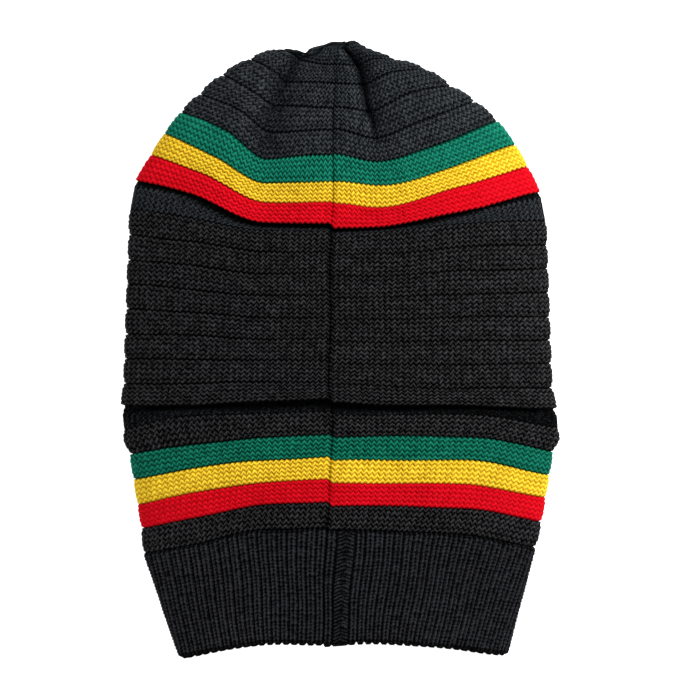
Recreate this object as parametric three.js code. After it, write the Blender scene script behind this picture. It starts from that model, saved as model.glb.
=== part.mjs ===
import * as THREE from 'three';

// A long slouch tam in welted knit, lying flat on its front with the back seam up.
// Frame in mm: X to the right, Y from the hem to the crown, Z up from the floor it lies on.

// Overall size
const LENGTH = 350;
const HALF_WIDTH = 124.5;
const HEIGHT = 35;

// Knit fabric
const WELT = 13.8;
const WALL = 5.2;
const GROOVE = 2.5;
const SHOULDER = 0.6;
const GAP = 0.3;

// Plain strips that the welts beside them hang over
const RECESS_FACE = 2.6;

// Rib cuff
const RIBS = 84;
const RIB_WALL = 4.2;
const RIB_DEPTH = 1.7;
const SCALLOP = 1.2;

// Crown gathers
const PLEATS = 28;
const PLEAT_DEPTH = 1.6;

// Back seam, a shallow dip that runs from the hem to the gather
const SEAM_DIP = 1.6;
const SEAM_REACH = 0.016;

// Lens of the flattened tube: how full each layer is towards its sides, and how far the weight presses it
const UPPER_FULLNESS = 0.6;
const LOWER_FULLNESS = 0.42;
const PRESS = 1.2;

// Share of the tube's half width and height that depths below the crests never eat into
const CORE = 0.3;

// Places across the upper layer where a course line changes its way, as shares of the half width
const MID_LEFT = -0.71;
const MID_RIGHT = 0.61;

// Course lines from the hem up. welt counts the courses in welts; x is a share of HALF_WIDTH and
// y a share of LENGTH from the hem, given at both edges and at five places between them.
const COURSES = table(
  ['name',        'welt', 'leftX', 'leftY', 'midL', 'foldL', 'seam', 'foldR', 'midR', 'rightX', 'rightY'],
  ['hem',             0, -0.735,  0.000,   0.016,   0.025,  0.022,  0.025,  0.018,   0.765,    0.006],
  ['cuff_top',        6, -0.900,  0.172,   0.189,   0.211,  0.211,  0.209,  0.203,   0.895,    0.182],
  ['stripes_low',     7, -0.907,  0.212,   0.232,   0.250,  0.252,  0.250,  0.246,   0.920,    0.222],
  ['stripes_top',    10, -0.960,  0.330,   0.347,   0.358,  0.362,  0.361,  0.359,   0.972,    0.336],
  ['tuck_crest',   10.5, -0.985,  0.351,   0.371,   0.378,  0.380,  0.379,  0.378,   1.000,    0.355],
  ['tuck_top',       11, -0.988,  0.371,   0.394,   0.398,  0.398,  0.396,  0.396,   0.996,    0.374],
  ['body_low',     11.5, -1.000,  0.411,   0.410,   0.417,  0.417,  0.412,  0.410,   0.990,    0.405],
  ['body_first',   12.5, -0.988,  0.445,   0.446,   0.447,  0.446,  0.442,  0.438,   0.968,    0.438],
  ['body_top',     19.5, -0.960,  0.725,   0.711,   0.690,  0.688,  0.689,  0.702,   0.940,    0.706],
  ['upper_red',      20, -0.935,  0.772,   0.746,   0.702,  0.698,  0.697,  0.720,   0.914,    0.753],
  ['upper_gold',     21, -0.865,  0.813,   0.779,   0.736,  0.734,  0.727,  0.757,   0.858,    0.795],
  ['upper_green',    22, -0.804,  0.847,   0.809,   0.766,  0.768,  0.761,  0.789,   0.803,    0.831],
  ['crown_1',        23, -0.732,  0.884,   0.850,   0.805,  0.811,  0.800,  0.827,   0.724,    0.868],
  ['crown_2',        24, -0.648,  0.915,   0.883,   0.848,  0.852,  0.840,  0.865,   0.622,    0.902],
  ['crown_3',        25, -0.546,  0.945,   0.912,   0.891,  0.889,  0.883,  0.909,   0.514,    0.928],
  ['crown_4',        26, -0.421,  0.971,   0.945,   0.931,  0.928,  0.926,  0.946,   0.405,    0.954],
  ['crown_top',      27, -0.305,  0.988,   0.977,   0.968,  0.957,  0.958,  0.967,   0.272,    0.971],
  ['lobe',         27.4, -0.200,  0.987,   0.982,   0.979,  0.973,  0.975,  0.980,   0.190,    0.981],
  ['lobe_foot',    27.6, -0.152,  0.984,   0.984,   0.983,  0.980,  0.981,  0.985,   0.145,    0.987],
  ['peak',         27.9, -0.050,  0.998,   0.997,   0.995,  0.993,  0.994,  0.996,   0.090,    0.997],
  ['gather',         28, -0.010,  0.999,   0.998,   0.997,  0.996,  0.997,  0.999,   0.075,    1.000],
);

// How high each stretch stands: loft is the upper layer at the middle and edge the side fold, as shares
// of HEIGHT; seamX is where the back seam runs, as a share of the half width there.
const LOFTS = table(
  ['name',        'welt', 'loft', 'edge', 'seamX'],
  ['hem',             0,  0.66,   0.27,  -0.120],
  ['cuff_top',        6,  0.74,   0.30,  -0.064],
  ['stripes',         9,  0.90,   0.34,  -0.045],
  ['body',           14,  1.00,   0.36,  -0.035],
  ['body_top',     19.5,  1.00,   0.36,  -0.032],
  ['crown_1',        23,  0.94,   0.34,  -0.030],
  ['crown_3',        25,  0.82,   0.32,  -0.030],
  ['crown_top',      27,  0.68,   0.29,  -0.030],
  ['gather',         28,  0.44,   0.26,  -0.030],
);

// Two folds that run up the crown to the gather: where each lies across the half width and how deep.
const FOLDS = table(
  ['name',        'welt', 'leftAt', 'leftDeep', 'rightAt', 'rightDeep'],
  ['body',           18,  -0.360,    0.00,       0.190,     0.00],
  ['upper_red',      20,  -0.360,    0.03,       0.190,     0.06],
  ['crown_1',        23,  -0.460,    0.08,       0.235,     0.17],
  ['crown_2',      24.5,  -0.500,    0.12,       0.285,     0.24],
  ['crown_4',        26,  -0.600,    0.15,       0.270,     0.27],
  ['crown_top',      27,  -0.640,    0.17,       0.330,     0.25],
  ['gather',         28,  -0.550,    0.03,       0.150,     0.05],
);
const LEFT_REACH = 0.24;
const RIGHT_REACH = 0.13;
const FOLD_SHARPNESS = 1.5;

// Sections of a band, from its lower to its upper edge: at is a share of the band, inset a depth in mm.
const WELT_SECTION = table(
  ['at', 'inset'],
  [0.00, GROOVE],
  [0.14, SHOULDER],
  [0.50, 0],
  [0.86, SHOULDER],
  [1.00, GROOVE],
  [1.00, WALL],
  [0.00, WALL],
);
const LIP_SECTION = table(
  ['at', 'inset'],
  [0.00, RECESS_FACE - GAP],
  [0.10, SHOULDER],
  [0.45, 0],
  [0.86, SHOULDER],
  [1.00, GROOVE],
  [1.00, WALL],
  [0.46, WALL],
  [0.42, RECESS_FACE - GAP],
);
const RECESS_SECTION = table(
  ['at', 'inset'],
  [0.00, RECESS_FACE],
  [0.56, RECESS_FACE],
  [1.00, RECESS_FACE],
  [1.00, WALL + GAP],
  [0.00, WALL + GAP],
);
const CUFF_SECTION = table(
  ['at', 'inset'],
  [0.00, 0.8],
  [0.02, 0],
  [0.97, 0],
  [1.00, 1.4],
  [1.00, RIB_WALL],
  [0.00, RIB_WALL - 0.6],
);
const CROWN_SECTION = table(
  ['at', 'inset'],
  [0.03, GROOVE],
  [0.16, SHOULDER],
  [0.50, SHOULDER],
  [1.00, 1.4],
  [0.80, WALL],
  [0.40, WALL],
  [0.03, WALL],
);

// Where columns of facets stand round the tube, as shares of a turn from the seam: close
// together at the seam, the folds and the side edges, and wide apart on the layer below.
const EDGE_STEPS = [-0.065, -0.03, -0.012, 0, 0.012, 0.03, 0.065];
const UPPER_STEPS = [
  -0.148, -0.115, -0.085, -0.045, -0.012, 0, 0.012, 0.034, 0.056, 0.072, 0.088, 0.118, 0.150,
];
const LOWER_STEPS = [0.375, 0.46, 0.54, 0.625];
const COLUMNS = [
  ...UPPER_STEPS,
  ...EDGE_STEPS.map((step) => 0.25 + step),
  ...LOWER_STEPS,
  ...EDGE_STEPS.map((step) => 0.75 + step),
].map((share) => (share + 1) % 1).sort((a, b) => a - b);

// Rows of a table as objects with its column names
function table(names, ...rows) {
  return rows.map((row) => Object.fromEntries(names.map((name, i) => [name, row[i]])));
}

const mix = (a, b, share) => a + (b - a) * share;

// Value of a table's column at a place along the hat, straight between its rows
function columnAt(rows, key, welt) {
  const next = Math.min(rows.length - 1, Math.max(1, rows.findIndex((row) => row.welt > welt)));
  const above = welt >= rows.at(-1).welt ? rows.length - 1 : next;
  const [low, high] = [rows[above - 1], rows[above]];
  const share = Math.min(1, Math.max(0, (welt - low.welt) / (high.welt - low.welt)));
  return mix(low[key], high[key], share);
}

// Slope that a smooth line takes at a point between two straight stretches, without swinging past it
const easySlope = (a, b) => (a * b <= 0 ? 0 : (2 * a * b) / (a + b));

// Smooth line through points that are given from left to right
function smoothAt(points, x) {
  const last = points.length - 1;
  const rise = points.slice(1).map((point, i) => (point[1] - points[i][1]) / (point[0] - points[i][0]));
  const slope = (i) => (i === 0 ? rise[0] : i === last ? rise[last - 1] : easySlope(rise[i - 1], rise[i]));
  const found = points.findIndex((point) => point[0] > x);
  const i = found < 0 ? last - 1 : Math.max(0, found - 1);
  const span = points[i + 1][0] - points[i][0];
  const s = Math.min(1, Math.max(0, (x - points[i][0]) / span));
  const turn = s * s * (3 - 2 * s);
  const leave = s * (1 - s) * (1 - s) * span * slope(i);
  const arrive = s * s * (s - 1) * span * slope(i + 1);
  return mix(points[i][1], points[i + 1][1], turn) + leave + arrive;
}

const smoothColumn = (rows, key, welt) => smoothAt(rows.map((row) => [row.welt, row[key]]), welt);

// Unit lens at an angle from the middle of the upper layer, clockwise as seen from the hem
function lensPoint(angle) {
  const rise = Math.cos(angle);
  const fullness = rise > 0 ? UPPER_FULLNESS : LOWER_FULLNESS;
  return [Math.sin(angle), Math.sign(rise) * Math.abs(rise) ** fullness];
}

// The lens walked at an even pace, so that a share of a turn is a share of the knit round
const LENS = (() => {
  const steps = 360;
  const points = Array.from({ length: steps + 1 }, (_, i) => lensPoint((2 * Math.PI * i) / steps));
  const walked = [0];
  for (let i = 1; i <= steps; i++) {
    const across = (points[i][0] - points[i - 1][0]) * HALF_WIDTH;
    const rise = (points[i][1] - points[i - 1][1]) * HEIGHT * 0.5;
    walked.push(walked[i - 1] + Math.hypot(across, rise));
  }
  return { points, walked };
})();

function lensAt(share) {
  const { points, walked } = LENS;
  const way = (share - Math.floor(share)) * walked.at(-1);
  const i = Math.max(1, walked.findIndex((w) => w >= way));
  const part = (way - walked[i - 1]) / (walked[i] - walked[i - 1]);
  return [mix(points[i - 1][0], points[i][0], part), mix(points[i - 1][1], points[i][1], part)];
}

// Depth share of a fold at a place across, full on its line and nothing at its reach
const foldShare = (across, line, reach) => Math.max(0, 1 - Math.abs(across - line) / reach) ** FOLD_SHARPNESS;

// Point of the fabric: welt along the hat, around as a share of a turn from the seam, inset below the crests
function fabricPoint(welt, around, inset) {
  const at = (key) => columnAt(COURSES, key, welt);
  const loft = smoothColumn(LOFTS, 'loft', welt) * HEIGHT;
  const edge = smoothColumn(LOFTS, 'edge', welt) * HEIGHT;
  const seamX = smoothColumn(LOFTS, 'seamX', welt);
  const leftAt = columnAt(FOLDS, 'leftAt', welt);
  const rightAt = columnAt(FOLDS, 'rightAt', welt);
  const [across, rise] = lensAt(around + seamX / 4);
  const centre = ((at('leftX') + at('rightX')) / 2) * HALF_WIDTH;
  const half = ((at('rightX') - at('leftX')) / 2) * HALF_WIDTH;
  const y = smoothAt(
    [
      [-1, at('leftY')],
      [MID_LEFT, at('midL')],
      [leftAt, at('foldL')],
      [seamX, at('seam')],
      [rightAt, at('foldR')],
      [MID_RIGHT, at('midR')],
      [1, at('rightY')],
    ],
    across,
  );
  const x = centre + Math.max(half - inset, CORE * half) * across;
  if (rise <= 0) {
    const drop = edge + PRESS;
    const z = edge + Math.max(drop - inset, CORE * drop) * rise;
    return [x, (y - 0.5) * LENGTH, Math.max(0, z)];
  }
  const lift = loft - edge;
  const left = columnAt(FOLDS, 'leftDeep', welt) * foldShare(across, leftAt, LEFT_REACH);
  const right = columnAt(FOLDS, 'rightDeep', welt) * foldShare(across, rightAt, RIGHT_REACH);
  const turn = Math.abs(around - Math.round(around));
  const seam = SEAM_DIP * Math.max(0, 1 - turn / SEAM_REACH);
  const z = edge + Math.max(lift - inset, CORE * lift) * rise - (left + right) * HEIGHT - seam;
  return [x, (y - 0.5) * LENGTH, z];
}

// The same point on the flat facets between two columns, so that finely ribbed pieces meet plain ones
function facetPoint(welt, around, inset) {
  const high = COLUMNS.find((column) => column > around) ?? 1 + COLUMNS[0];
  const low = COLUMNS.findLast((column) => column <= around) ?? COLUMNS.at(-1) - 1;
  const share = (around - low) / (high - low);
  const [before, after] = [fabricPoint(welt, low, inset), fabricPoint(welt, high, inset)];
  return before.map((value, axis) => mix(value, after[axis], share));
}

// Closed ring: its section swept round the tube. shift moves a section point along and in at a column.
function ring(section, from, to, columns, shift = () => [0, 0]) {
  const half = GAP / 2 / WELT;
  const [low, high] = [from + half, to - half];
  const positions = columns.flatMap((around, column) =>
    section.flatMap(({ at, inset }, corner) => {
      const [along, inward] = shift(column, corner);
      return facetPoint(mix(low, high, at) + along, around, inset + inward);
    }),
  );
  const index = [];
  const size = section.length;
  columns.forEach((_, column) => {
    const here = column * size;
    const next = ((column + 1) % columns.length) * size;
    for (let corner = 0; corner < size; corner++) {
      const following = (corner + 1) % size;
      index.push(here + corner, next + corner, next + following);
      index.push(here + corner, next + following, here + following);
    }
  });
  const geometry = new THREE.BufferGeometry();
  geometry.setAttribute('position', new THREE.Float32BufferAttribute(positions, 3));
  geometry.setIndex(index);
  geometry.computeVertexNormals();
  return geometry;
}

const YARNS = { black: '#1c1c1d', crown: '#242a2b', red: '#cd0d1a', gold: '#dcb222', green: '#0e5746' };

const group = new THREE.Group();
group.name = 'slouch_tam';

function addPiece(name, yarn, geometry) {
  const material = new THREE.MeshStandardMaterial({ color: YARNS[yarn], roughness: 0.94, metalness: 0 });
  const mesh = new THREE.Mesh(geometry, material);
  mesh.name = name;
  group.add(mesh);
}

const addBand = (name, yarn, section, from, to) => addPiece(name, yarn, ring(section, from, to, COLUMNS));

// Rib cuff: every second column is a furrow, and the rib ends scallop the hem
const ribColumns = Array.from({ length: 2 * RIBS }, (_, i) => i / (2 * RIBS));
const OUTER_CORNERS = 4;
const ribShift = (column, corner) => {
  const furrow = column % 2;
  const atHem = corner < 2 || corner === CUFF_SECTION.length - 1;
  return [furrow && atHem ? SCALLOP / WELT : 0, furrow && corner < OUTER_CORNERS ? RIB_DEPTH : 0];
};
addPiece('rib_cuff', 'black', ring(CUFF_SECTION, 0, 6, ribColumns, ribShift));

// Lower stripes, with a black welt at each side of the colours
addBand('cuff_welt', 'black', WELT_SECTION, 6, 7);
addBand('lower_red_welt', 'red', WELT_SECTION, 7, 8);
addBand('lower_gold_welt', 'gold', WELT_SECTION, 8, 9);
addBand('lower_green_welt', 'green', WELT_SECTION, 9, 10);
addBand('tuck_welt', 'black', WELT_SECTION, 10, 11);
addBand('lower_recess', 'black', RECESS_SECTION, 11, 11.9);

// Body, whose lowest welt hangs over the strip below it
addBand('body_welt_1', 'black', LIP_SECTION, 11.5, 12.5);
for (let i = 2; i <= 8; i++) {
  addBand(`body_welt_${i}`, 'black', WELT_SECTION, 10.5 + i, 11.5 + i);
}

// Upper stripes, whose red welt hangs over the strip below it
addBand('upper_recess', 'black', RECESS_SECTION, 19.5, 20.4);
addBand('upper_red_welt', 'red', LIP_SECTION, 20, 21);
addBand('upper_gold_welt', 'gold', WELT_SECTION, 21, 22);
addBand('upper_green_welt', 'green', WELT_SECTION, 22, 23);

// Crown: four welts, then a plain top that is pleated into the gather
for (let i = 1; i <= 4; i++) {
  addBand(`crown_welt_${i}`, 'crown', WELT_SECTION, 22 + i, 23 + i);
}
const pleatColumns = Array.from({ length: 2 * PLEATS }, (_, i) => i / (2 * PLEATS));
const pleatShift = (column, corner) => [0, column % 2 && corner > 0 && corner < OUTER_CORNERS ? PLEAT_DEPTH : 0];
addPiece('crown_top', 'crown', ring(CROWN_SECTION, 27, 28, pleatColumns, pleatShift));

export default group;
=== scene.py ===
"""A long slouch tam in welted knit, lying flat on its front with its back seam up.

Every band of the hat is knitted course by course and wrapped on to one flattened tube, so the
bands meet as they do on the real hat. Lengths are in metres, +Y runs from the hem to the crown.
Places along the hat are counted in welts from the hem, and places round it in shares of a turn from
the back seam. A shade is how far the yarn's colour is painted darker, as shade deep among the
stitches, in grooves, folds and the seam and under lips, from 0 on the stitches' crests to 1.
"""

import logging
import math
from dataclasses import dataclass
from enum import Enum
from functools import partial
from typing import NamedTuple

import bmesh
import bpy
import numpy as np
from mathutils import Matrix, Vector

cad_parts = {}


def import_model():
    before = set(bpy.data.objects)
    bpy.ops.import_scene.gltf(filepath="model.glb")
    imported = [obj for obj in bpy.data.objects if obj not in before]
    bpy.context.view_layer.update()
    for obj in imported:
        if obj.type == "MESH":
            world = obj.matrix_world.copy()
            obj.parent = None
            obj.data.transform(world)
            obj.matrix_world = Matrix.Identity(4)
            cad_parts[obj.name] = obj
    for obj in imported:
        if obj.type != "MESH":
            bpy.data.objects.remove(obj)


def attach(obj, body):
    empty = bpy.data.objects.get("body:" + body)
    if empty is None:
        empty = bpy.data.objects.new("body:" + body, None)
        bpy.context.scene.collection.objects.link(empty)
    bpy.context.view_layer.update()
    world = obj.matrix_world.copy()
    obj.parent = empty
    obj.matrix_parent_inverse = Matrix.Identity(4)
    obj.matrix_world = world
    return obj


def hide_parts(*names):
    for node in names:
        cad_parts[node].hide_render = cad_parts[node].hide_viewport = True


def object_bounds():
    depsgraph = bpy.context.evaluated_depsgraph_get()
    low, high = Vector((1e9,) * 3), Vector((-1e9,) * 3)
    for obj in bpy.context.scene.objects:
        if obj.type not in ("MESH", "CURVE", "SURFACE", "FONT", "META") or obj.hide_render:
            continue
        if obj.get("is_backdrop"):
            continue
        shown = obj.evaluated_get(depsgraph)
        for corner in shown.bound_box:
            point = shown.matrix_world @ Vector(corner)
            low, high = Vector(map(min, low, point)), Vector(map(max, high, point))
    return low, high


log = logging.getLogger("slouch_tam")

MM = 0.001
TURN = 2.0 * math.pi

# Knit gauge
STITCHES = 156
RIBS = 84
COURSES_A_WELT = 5
WELT = 13.8 * MM

# Fabric
WALL = 5.2 * MM


class Knit(Enum):
    """The knits that the hat is made of, each by its material slot."""

    WELTED = "black_knit"
    RIBBED = "black_rib"
    PLAIN = "plain_knit"
    CROWN = "crown_knit"
    GATHERED = "gathered_knit"
    RED = "red_knit"
    GOLD = "gold_knit"
    GREEN = "green_knit"


class Draw(Enum):
    """What is drawn at random over a band, each by how far its seed lies from the band's own."""

    LOOSE = 0
    HEM = 1
    SLACK = 300
    JUMP = 500
    ASIDE = 700
    SEAM = 900


class CourseLine(NamedTuple):
    """A course line over the hat: x in shares of the half width, y and step in shares of the length."""

    name: str
    welt: float
    left_x: float
    left_y: float
    mid_left: float
    fold_left: float
    seam: float
    fold_right: float
    mid_right: float
    right_x: float
    right_y: float
    step: float


class Loft(NamedTuple):
    """How high a stretch stands: the middle and the side edge in shares of the height."""

    name: str
    welt: float
    loft: float
    edge: float
    seam_x: float


class Fold(NamedTuple):
    """Where the crown's two long folds lie across the hat and how deep they are, in shares."""

    name: str
    welt: float
    left_at: float
    left_deep: float
    right_at: float
    right_deep: float


class Ripple(NamedTuple):
    """A slow wave in the fabric: its crests round the hat, and the welts between two along it."""

    crests: float
    pitch: float

    def at(self, welt: np.ndarray, around: np.ndarray) -> np.ndarray:
        """Gives the wave's height, from -1 to 1."""
        return np.sin(TURN * (self.crests * around + welt / self.pitch))


class Round(NamedTuple):
    """How many stitches go round a welt of the crown, and how many columns of faces each has."""

    stitches: int
    columns_a_stitch: int


COURSE_LINES = (
    CourseLine("hem", 0.0, -0.735, 0.000, 0.016, 0.025, 0.022, 0.025, 0.018, 0.765, 0.006, 0.003),
    CourseLine("cuff_top", 6.0, -0.900, 0.172, 0.189, 0.211, 0.211, 0.209, 0.203, 0.895, 0.182, 0.004),
    CourseLine("stripes_low", 7.0, -0.907, 0.212, 0.232, 0.250, 0.252, 0.250, 0.246, 0.920, 0.222, 0.007),
    CourseLine("stripes_top", 10.0, -0.960, 0.330, 0.347, 0.358, 0.362, 0.361, 0.359, 0.972, 0.336, 0.005),
    CourseLine("tuck_crest", 10.5, -0.985, 0.351, 0.371, 0.378, 0.380, 0.379, 0.378, 1.000, 0.355, 0.005),
    CourseLine("tuck_top", 11.0, -0.988, 0.371, 0.394, 0.398, 0.398, 0.396, 0.396, 0.996, 0.374, 0.006),
    CourseLine("body_low", 11.5, -1.000, 0.411, 0.410, 0.417, 0.417, 0.412, 0.410, 0.990, 0.405, 0.006),
    CourseLine("body_first", 12.5, -0.988, 0.445, 0.446, 0.447, 0.446, 0.442, 0.438, 0.968, 0.438, 0.003),
    CourseLine("body_top", 19.5, -0.960, 0.725, 0.711, 0.690, 0.688, 0.689, 0.702, 0.940, 0.706, 0.006),
    CourseLine("upper_red", 20.0, -0.935, 0.772, 0.746, 0.702, 0.698, 0.697, 0.720, 0.914, 0.753, 0.008),
    CourseLine("upper_gold", 21.0, -0.865, 0.813, 0.779, 0.736, 0.734, 0.727, 0.757, 0.858, 0.795, 0.002),
    CourseLine("upper_green", 22.0, -0.804, 0.847, 0.809, 0.766, 0.768, 0.761, 0.789, 0.803, 0.831, 0.000),
    CourseLine("crown_1", 23.0, -0.732, 0.884, 0.850, 0.805, 0.811, 0.800, 0.827, 0.724, 0.868, -0.002),
    CourseLine("crown_2", 24.0, -0.648, 0.915, 0.883, 0.848, 0.852, 0.840, 0.865, 0.622, 0.902, -0.002),
    CourseLine("crown_3", 25.0, -0.546, 0.945, 0.912, 0.891, 0.889, 0.883, 0.909, 0.514, 0.928, -0.002),
    CourseLine("crown_4", 26.0, -0.421, 0.971, 0.945, 0.931, 0.928, 0.926, 0.946, 0.405, 0.954, 0.000),
    CourseLine("crown_top", 27.0, -0.305, 0.988, 0.977, 0.968, 0.957, 0.958, 0.967, 0.272, 0.971, 0.000),
    CourseLine("lobe", 27.4, -0.205, 0.986, 0.977, 0.975, 0.973, 0.975, 0.980, 0.190, 0.981, 0.000),
    CourseLine("lobe_foot", 27.58, -0.172, 0.976, 0.978, 0.979, 0.979, 0.981, 0.985, 0.145, 0.987, 0.000),
    CourseLine("lobe_rise", 27.7, -0.150, 0.986, 0.987, 0.986, 0.985, 0.986, 0.989, 0.125, 0.990, 0.000),
    CourseLine("peak", 27.9, -0.050, 0.998, 0.997, 0.995, 0.993, 0.994, 0.996, 0.090, 0.997, 0.000),
    CourseLine("gather", 28.0, -0.010, 0.999, 0.998, 0.997, 0.996, 0.997, 0.999, 0.075, 1.000, 0.000),
)
LOFTS = (
    Loft("hem", 0.0, 0.66, 0.27, -0.120),
    Loft("cuff_top", 6.0, 0.74, 0.30, -0.064),
    Loft("stripes", 9.0, 0.90, 0.34, -0.045),
    Loft("body", 14.0, 1.00, 0.36, -0.035),
    Loft("body_top", 19.5, 1.00, 0.36, -0.032),
    Loft("crown_1", 23.0, 0.94, 0.34, -0.030),
    Loft("crown_3", 25.0, 0.82, 0.32, -0.030),
    Loft("crown_top", 27.0, 0.68, 0.29, -0.030),
    Loft("gather", 28.0, 0.44, 0.26, -0.030),
)
FOLDS = (
    Fold("body", 18.0, -0.360, 0.00, 0.190, 0.00),
    Fold("upper_red", 20.0, -0.360, 0.03, 0.190, 0.06),
    Fold("crown_1", 23.0, -0.460, 0.08, 0.235, 0.17),
    Fold("crown_2", 24.5, -0.500, 0.12, 0.285, 0.24),
    Fold("crown_4", 26.0, -0.600, 0.15, 0.270, 0.27),
    Fold("crown_top", 27.0, -0.640, 0.17, 0.330, 0.25),
    Fold("gather", 28.0, -0.550, 0.03, 0.150, 0.05),
)
# Fewer stitches go round the nearer a welt lies to the gather
CROWN_ROUNDS = (Round(140, 4), Round(122, 4), Round(102, 5), Round(82, 6))

# Where the courses' heights between fold and side are given, in shares of the half width
MID_LEFT = -0.71
MID_RIGHT = 0.61

# Course lines where the yarn changes or a free edge shows, which run straighter than the courses between
SMOOTH_EDGES = (6.0, 7.0, 8.0, 9.0, 10.0, 11.5, 20.0, 21.0, 22.0, 23.0, 24.0, 25.0, 26.0, 27.0)


def linear(hex_colour: str) -> tuple[float, float, float, float]:
    """Turns an sRGB hex colour to the linear values that shaders take.

    Args:
        hex_colour: Six hex digits after a hash.

    Returns:
        Linear red, green and blue, and an alpha of 1.
    """
    shares = [int(hex_colour[i:i + 2], 16) / 255.0 for i in (1, 3, 5)]
    red, green, blue = (s / 12.92 if s <= 0.04045 else ((s + 0.055) / 1.055) ** 2.4 for s in shares)
    return (red, green, blue, 1.0)


def ease(low: float, high: float, value: np.ndarray) -> np.ndarray:
    """Rises softly from 0 at low to 1 at high."""
    s = np.clip((value - low) / (high - low), 0.0, 1.0)
    return s * s * (3.0 - 2.0 * s)


def smooth_across(knots: np.ndarray, heights: np.ndarray, at: np.ndarray) -> np.ndarray:
    """Follows one smooth line a point through that point's own knots, without swinging past them.

    Args:
        knots: Places of the knots, one row of them a point, rising.
        heights: Heights at the knots, in the same shape.
        at: Where each point lies along its own knots.

    Returns:
        The height of the line at each point.
    """
    span = np.diff(knots, axis=1)
    rise = np.diff(heights, axis=1) / span
    product = rise[:, :-1] * rise[:, 1:]
    total = rise[:, :-1] + rise[:, 1:]
    inner = np.where(product > 0.0, 2.0 * product / np.where(product > 0.0, total, 1.0), 0.0)
    slope = np.concatenate([rise[:, :1], inner, rise[:, -1:]], axis=1)
    found = np.sum(knots[:, 1:-1] <= at[:, None], axis=1)
    pick = np.arange(len(at))
    width = span[pick, found]
    s = np.clip((at - knots[pick, found]) / width, 0.0, 1.0)
    turn = s * s * (3.0 - 2.0 * s)
    leave = s * (1.0 - s) ** 2 * width * slope[pick, found]
    arrive = s * s * (s - 1.0) * width * slope[pick, found + 1]
    return heights[pick, found] * (1.0 - turn) + heights[pick, found + 1] * turn + leave + arrive


def column(rows: tuple, key: str, welt: np.ndarray) -> np.ndarray:
    """Reads a table's column at places along the hat, straight between its rows."""
    return np.interp(welt, [row.welt for row in rows], [getattr(row, key) for row in rows])


def smooth_column(rows: tuple, key: str, welt: np.ndarray) -> np.ndarray:
    """Reads a table's column at places along the hat, smoothly between its rows.

    Args:
        rows: The table.
        key: The column's name.
        welt: Places along the hat.

    Returns:
        The column's value at each place.
    """
    knots = np.tile([row.welt for row in rows], (len(welt), 1))
    heights = np.tile([getattr(row, key) for row in rows], (len(welt), 1))
    return smooth_across(knots, heights, welt)


def uneven(seed: int, rows: int, columns: int, row: np.ndarray, column: np.ndarray) -> np.ndarray:
    """Varies softly from one stitch to the next, with no jump where the round closes.

    Args:
        seed: Seed of the band.
        rows: How many courses there are.
        columns: How many stitches go round.
        row: Places counted in courses.
        column: Places counted in stitches.

    Returns:
        Values about 0, mostly within 1.
    """
    grid = np.clip(np.random.default_rng(seed).normal(0.0, 0.6, (rows + 2, columns)), -1.2, 1.2)
    low = np.clip(np.floor(row), 0, rows).astype(int)
    left = np.floor(column).astype(int)
    up = ease(0.0, 1.0, row - low)
    over = ease(0.0, 1.0, column - left)
    before = grid[low, left % columns] * (1.0 - up) + grid[low + 1, left % columns] * up
    after = grid[low, (left + 1) % columns] * (1.0 - up) + grid[low + 1, (left + 1) % columns] * up
    return before * (1.0 - over) + after * over


@dataclass(frozen=True)
class Seam:
    """The back seam: a narrow pinch in a soft dip, where the courses don't quite meet."""

    pinch: float = 1.7 * MM
    pinch_width: float = 0.6 * MM
    dip: float = 0.5 * MM
    dip_width: float = 6.0 * MM
    grip: float = 26.0 * MM

    def sink(self, off: np.ndarray) -> np.ndarray:
        """Gives the depth at distances from the seam."""
        pinch = self.pinch * np.exp(-(off / self.pinch_width) ** 2)
        return pinch + self.dip * np.exp(-(off / self.dip_width) ** 2)

    def side(self, off: np.ndarray) -> np.ndarray:
        """Gives -1 just left of the seam and 1 just right of it, fading away from it."""
        return np.tanh(off / self.pinch_width) * np.exp(-np.abs(off) / self.grip)

    def shade(self, off: np.ndarray) -> np.ndarray:
        """Gives how much painted shade darkens the yarn in the pinch, from 0 to 1."""
        return np.exp(-(off / self.pinch_width) ** 2)


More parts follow.
